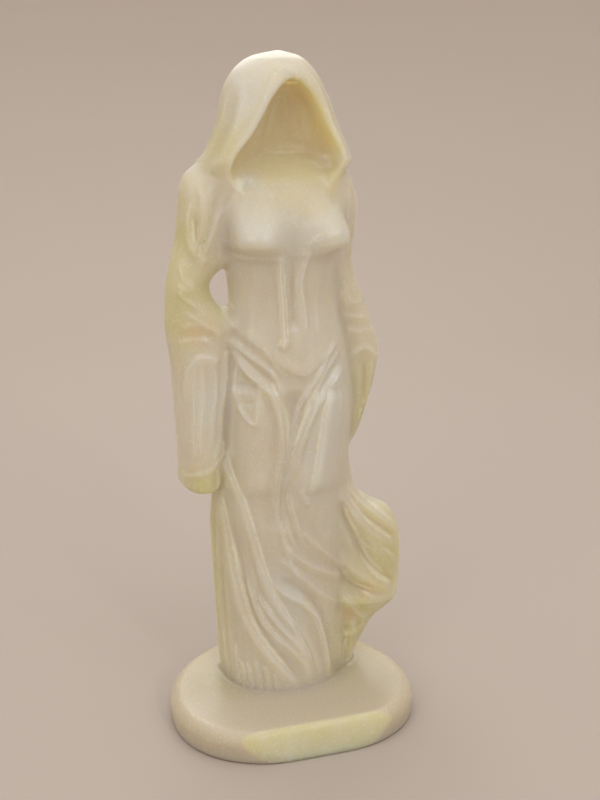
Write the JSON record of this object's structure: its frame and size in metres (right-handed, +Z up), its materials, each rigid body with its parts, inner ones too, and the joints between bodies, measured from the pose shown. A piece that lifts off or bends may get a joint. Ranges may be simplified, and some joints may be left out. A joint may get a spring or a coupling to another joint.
{
  "type": "veiled figurine",
  "caption": "Small carved stone figurine of a hooded, faceless woman in a long gown with bell sleeves, standing on an oval slab by its own weight.",
  "frame": {"origin": "middle of the slab's flat underside", "axes": "+Z up along the figure, -Y out of the front of the figure and of the slab's sawn face, +X to the side where the gown's tail blows out"},
  "size_m": [0.0584, 0.0504, 0.15],
  "materials": {
    "stone": "polished"
  },
  "bodies": {
    "root": {"witch_figurine": "stone"}
  },
  "joints": []
}
